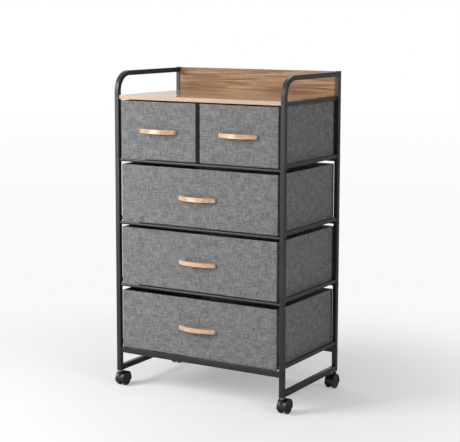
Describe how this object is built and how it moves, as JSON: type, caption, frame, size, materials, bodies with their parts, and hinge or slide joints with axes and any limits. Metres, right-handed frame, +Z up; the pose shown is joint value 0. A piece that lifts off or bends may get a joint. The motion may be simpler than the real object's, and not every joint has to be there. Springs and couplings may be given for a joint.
{
  "type": "fabric drawer dresser",
  "caption": "Tall chest on casters: square steel tube frame with curved side arms, a wooden top and back board, and fabric drawers with wooden bow handles.",
  "frame": {"origin": "middle of the box round the dresser, on the floor under the casters", "axes": "+Z up, -Y is the front that the drawers open to, X runs across the width"},
  "size_m": [0.6142, 0.3802, 0.9999],
  "materials": {
    "black_steel": "satin black powder coat with a fine texture",
    "black_plastic": "moulded black nylon",
    "bright_steel": "zinc plated",
    "oak": "light oak grain, matt, with paler cut edges",
    "pale_wood": "clear satin on pale beech",
    "grey_fabric": "heathered grey linen look, coarse weave",
    "grey_board": "plain hardboard"
  },
  "bodies": {
    "frame": {"left_front_post": "black_steel", "left_rear_post": "black_steel", "left_board_rail": "black_steel", "left_tier_1_rail": "black_steel", "left_tier_2_rail": "black_steel", "left_tier_3_rail": "black_steel", "left_tier_4_rail": "black_steel", "left_base_rail": "black_steel", "left_post_cap": "black_plastic", "right_front_post": "black_steel", "right_rear_post": "black_steel", "right_board_rail": "black_steel", "right_tier_1_rail": "black_steel", "right_tier_2_rail": "black_steel", "right_tier_3_rail": "black_steel", "right_tier_4_rail": "black_steel", "right_base_rail": "black_steel", "right_post_cap": "black_plastic", "front_rail_1": "black_steel", "rear_rail_1": "black_steel", "front_rail_2": "black_steel", "rear_rail_2": "black_steel", "front_rail_3": "black_steel", "rear_rail_3": "black_steel", "front_rail_4": "black_steel", "rear_rail_4": "black_steel", "drawer_divider": "black_steel", "top_board": "oak", "back_board": "oak", "front_left_stem": "bright_steel", "front_right_stem": "bright_steel", "rear_left_stem": "bright_steel", "rear_right_stem": "bright_steel"},
    "top_left_drawer": {"top_left_bin": "grey_fabric", "top_left_base_board": "grey_board", "top_left_handle": "pale_wood"},
    "top_right_drawer": {"top_right_bin": "grey_fabric", "top_right_base_board": "grey_board", "top_right_handle": "pale_wood"},
    "tier_2_drawer": {"tier_2_bin": "grey_fabric", "tier_2_base_board": "grey_board", "tier_2_handle": "pale_wood"},
    "tier_3_drawer": {"tier_3_bin": "grey_fabric", "tier_3_base_board": "grey_board", "tier_3_handle": "pale_wood"},
    "tier_4_drawer": {"tier_4_bin": "grey_fabric", "tier_4_base_board": "grey_board", "tier_4_handle": "pale_wood"},
    "front_left_swivel_body": {"front_left_hood": "black_plastic"},
    "front_left_wheel_1_body": {"front_left_wheel_1": "black_plastic"},
    "front_left_wheel_2_body": {"front_left_wheel_2": "black_plastic"},
    "front_right_swivel_body": {"front_right_hood": "black_plastic"},
    "front_right_wheel_1_body": {"front_right_wheel_1": "black_plastic"},
    "front_right_wheel_2_body": {"front_right_wheel_2": "black_plastic"},
    "rear_left_swivel_body": {"rear_left_hood": "black_plastic"},
    "rear_left_wheel_1_body": {"rear_left_wheel_1": "black_plastic"},
    "rear_left_wheel_2_body": {"rear_left_wheel_2": "black_plastic"},
    "rear_right_swivel_body": {"rear_right_hood": "black_plastic"},
    "rear_right_wheel_1_body": {"rear_right_wheel_1": "black_plastic"},
    "rear_right_wheel_2_body": {"rear_right_wheel_2": "black_plastic"}
  },
  "joints": [
    {"name": "top_left_slide", "type": "slide", "parent": "frame", "child": "top_left_drawer", "axis": [0, -1, 0], "range_m": [0, 0.27]},
    {"name": "top_right_slide", "type": "slide", "parent": "frame", "child": "top_right_drawer", "axis": [0, -1, 0], "range_m": [0, 0.27]},
    {"name": "tier_2_slide", "type": "slide", "parent": "frame", "child": "tier_2_drawer", "axis": [0, -1, 0], "range_m": [0, 0.27]},
    {"name": "tier_3_slide", "type": "slide", "parent": "frame", "child": "tier_3_drawer", "axis": [0, -1, 0], "range_m": [0, 0.27]},
    {"name": "tier_4_slide", "type": "slide", "parent": "frame", "child": "tier_4_drawer", "axis": [0, -1, 0], "range_m": [0, 0.27]},
    {"name": "front_left_swivel", "type": "hinge", "parent": "frame", "child": "front_left_swivel_body", "pos_m": [-0.2925, -0.16425, 0.04], "axis": [0, 0, 1], "continuous": true},
    {"name": "front_left_wheel_1_roll", "type": "hinge", "parent": "front_left_swivel_body", "child": "front_left_wheel_1_body", "pos_m": [-0.2925, -0.14725, 0.022], "axis": [1, 0, 0], "continuous": true},
    {"name": "front_left_wheel_2_roll", "type": "hinge", "parent": "front_left_swivel_body", "child": "front_left_wheel_2_body", "pos_m": [-0.2925, -0.14725, 0.022], "axis": [1, 0, 0], "continuous": true},
    {"name": "front_right_swivel", "type": "hinge", "parent": "frame", "child": "front_right_swivel_body", "pos_m": [0.2925, -0.16425, 0.04], "axis": [0, 0, 1], "continuous": true},
    {"name": "front_right_wheel_1_roll", "type": "hinge", "parent": "front_right_swivel_body", "child": "front_right_wheel_1_body", "pos_m": [0.2925, -0.14725, 0.022], "axis": [1, 0, 0], "continuous": true},
    {"name": "front_right_wheel_2_roll", "type": "hinge", "parent": "front_right_swivel_body", "child": "front_right_wheel_2_body", "pos_m": [0.2925, -0.14725, 0.022], "axis": [1, 0, 0], "continuous": true},
    {"name": "rear_left_swivel", "type": "hinge", "parent": "frame", "child": "rear_left_swivel_body", "pos_m": [-0.2925, 0.18275, 0.04], "axis": [0, 0, 1], "continuous": true},
    {"name": "rear_left_wheel_1_roll", "type": "hinge", "parent": "rear_left_swivel_body", "child": "rear_left_wheel_1_body", "pos_m": [-0.2925, 0.16575, 0.022], "axis": [1, 0, 0], "continuous": true},
    {"name": "rear_left_wheel_2_roll", "type": "hinge", "parent": "rear_left_swivel_body", "child": "rear_left_wheel_2_body", "pos_m": [-0.2925, 0.16575, 0.022], "axis": [1, 0, 0], "continuous": true},
    {"name": "rear_right_swivel", "type": "hinge", "parent": "frame", "child": "rear_right_swivel_body", "pos_m": [0.2925, 0.18275, 0.04], "axis": [0, 0, 1], "continuous": true},
    {"name": "rear_right_wheel_1_roll", "type": "hinge", "parent": "rear_right_swivel_body", "child": "rear_right_wheel_1_body", "pos_m": [0.2925, 0.16575, 0.022], "axis": [1, 0, 0], "continuous": true},
    {"name": "rear_right_wheel_2_roll", "type": "hinge", "parent": "rear_right_swivel_body", "child": "rear_right_wheel_2_body", "pos_m": [0.2925, 0.16575, 0.022], "axis": [1, 0, 0], "continuous": true}
  ]
}
